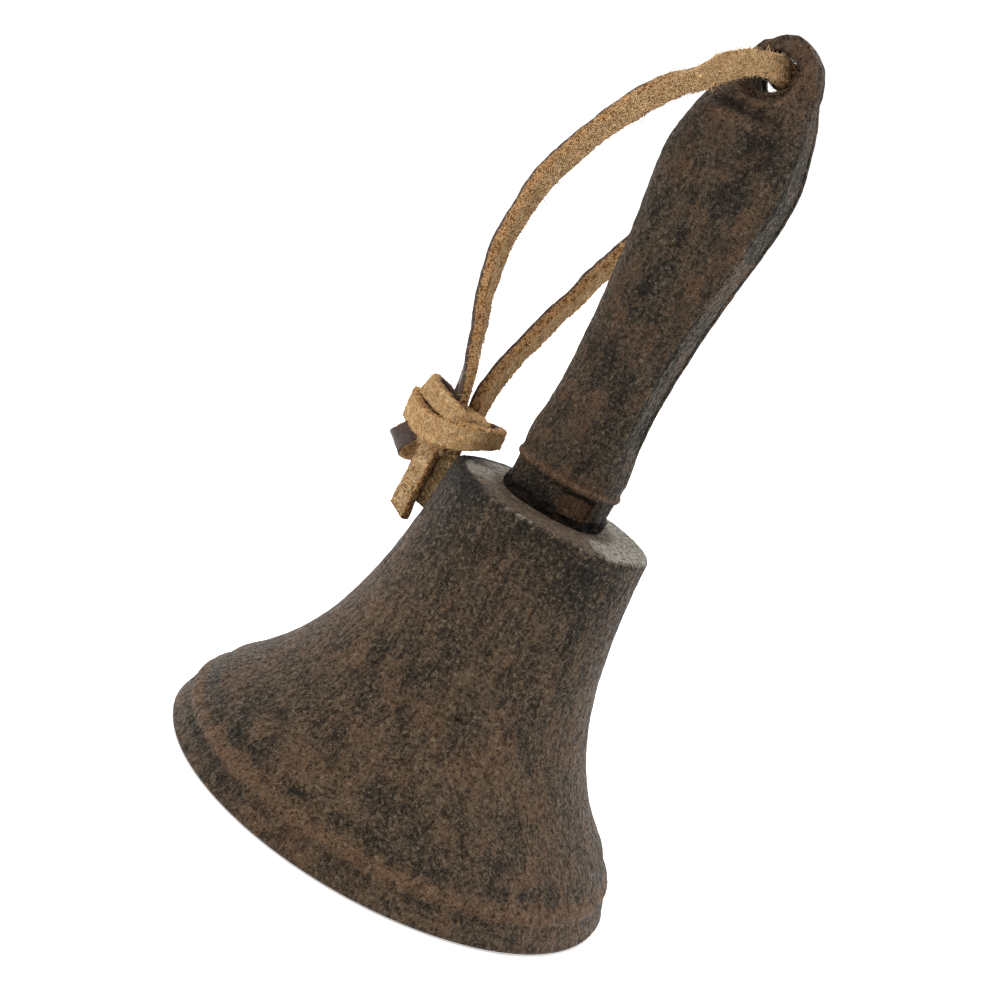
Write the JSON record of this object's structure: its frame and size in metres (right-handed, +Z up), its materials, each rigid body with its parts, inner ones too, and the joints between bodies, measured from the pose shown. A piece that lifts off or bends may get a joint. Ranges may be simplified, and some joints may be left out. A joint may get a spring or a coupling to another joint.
{
  "type": "yard dinner bell",
  "caption": "Flared cast iron hand bell with a bolted cast handle, a free clapper on a wire link, and a knotted leather thong through the handle's eye.",
  "frame": {"origin": "centre of the mouth, in the plane of the rim that the bell stands on", "axes": "+Z up the bell towards the handle's eye; the handle's broad faces look along -Y and +Y; the thong hangs on the -X side"},
  "size_m": [0.09, 0.09, 0.1569],
  "materials": {
    "bell_iron": "sand-cast iron, mottled brown and grey patina, semi-gloss",
    "handle_iron": "sand-cast iron, mottled brown and grey patina, worn ridges",
    "bolt_steel": "dull drawn steel with light rust",
    "nut_steel": "dull steel with light rust",
    "washer_steel": "dull stamped steel",
    "link_steel": "dull drawn wire",
    "rod_steel": "dull drawn wire",
    "ball_iron": "cast iron, rubbed bright where it strikes",
    "thong_leather": "suede split, rough and fibrous, with a dark smooth grain side",
    "knot_leather": "suede split, rough and fibrous, with a dark smooth grain side"
  },
  "bodies": {
    "root": {"bell": "bell_iron", "handle": "handle_iron", "eye_bolt": "bolt_steel", "lock_nut": "nut_steel", "crown_washer": "washer_steel"},
    "link": {"clapper_link": "link_steel"},
    "clapper": {"clapper_rod": "rod_steel", "clapper_ball": "ball_iron"},
    "thong": {"thong_front": "thong_leather", "thong_back": "thong_leather", "thong_knot": "knot_leather", "thong_tails": "thong_leather"}
  },
  "joints": [
    {"name": "link_swing", "type": "hinge", "parent": "root", "child": "link", "pos_m": [0, 0, 0.0466], "axis": [1, 0, 0], "range_deg": [-22, 22]},
    {"name": "clapper_swing", "type": "hinge", "parent": "link", "child": "clapper", "pos_m": [0, 0, 0.041], "axis": [0, 1, 0], "range_deg": [-28, 28]},
    {"name": "thong_swing", "type": "hinge", "parent": "root", "child": "thong", "pos_m": [-0.0013, 0, 0.1496], "axis": [0, 1, 0], "range_deg": [0, 160]}
  ]
}
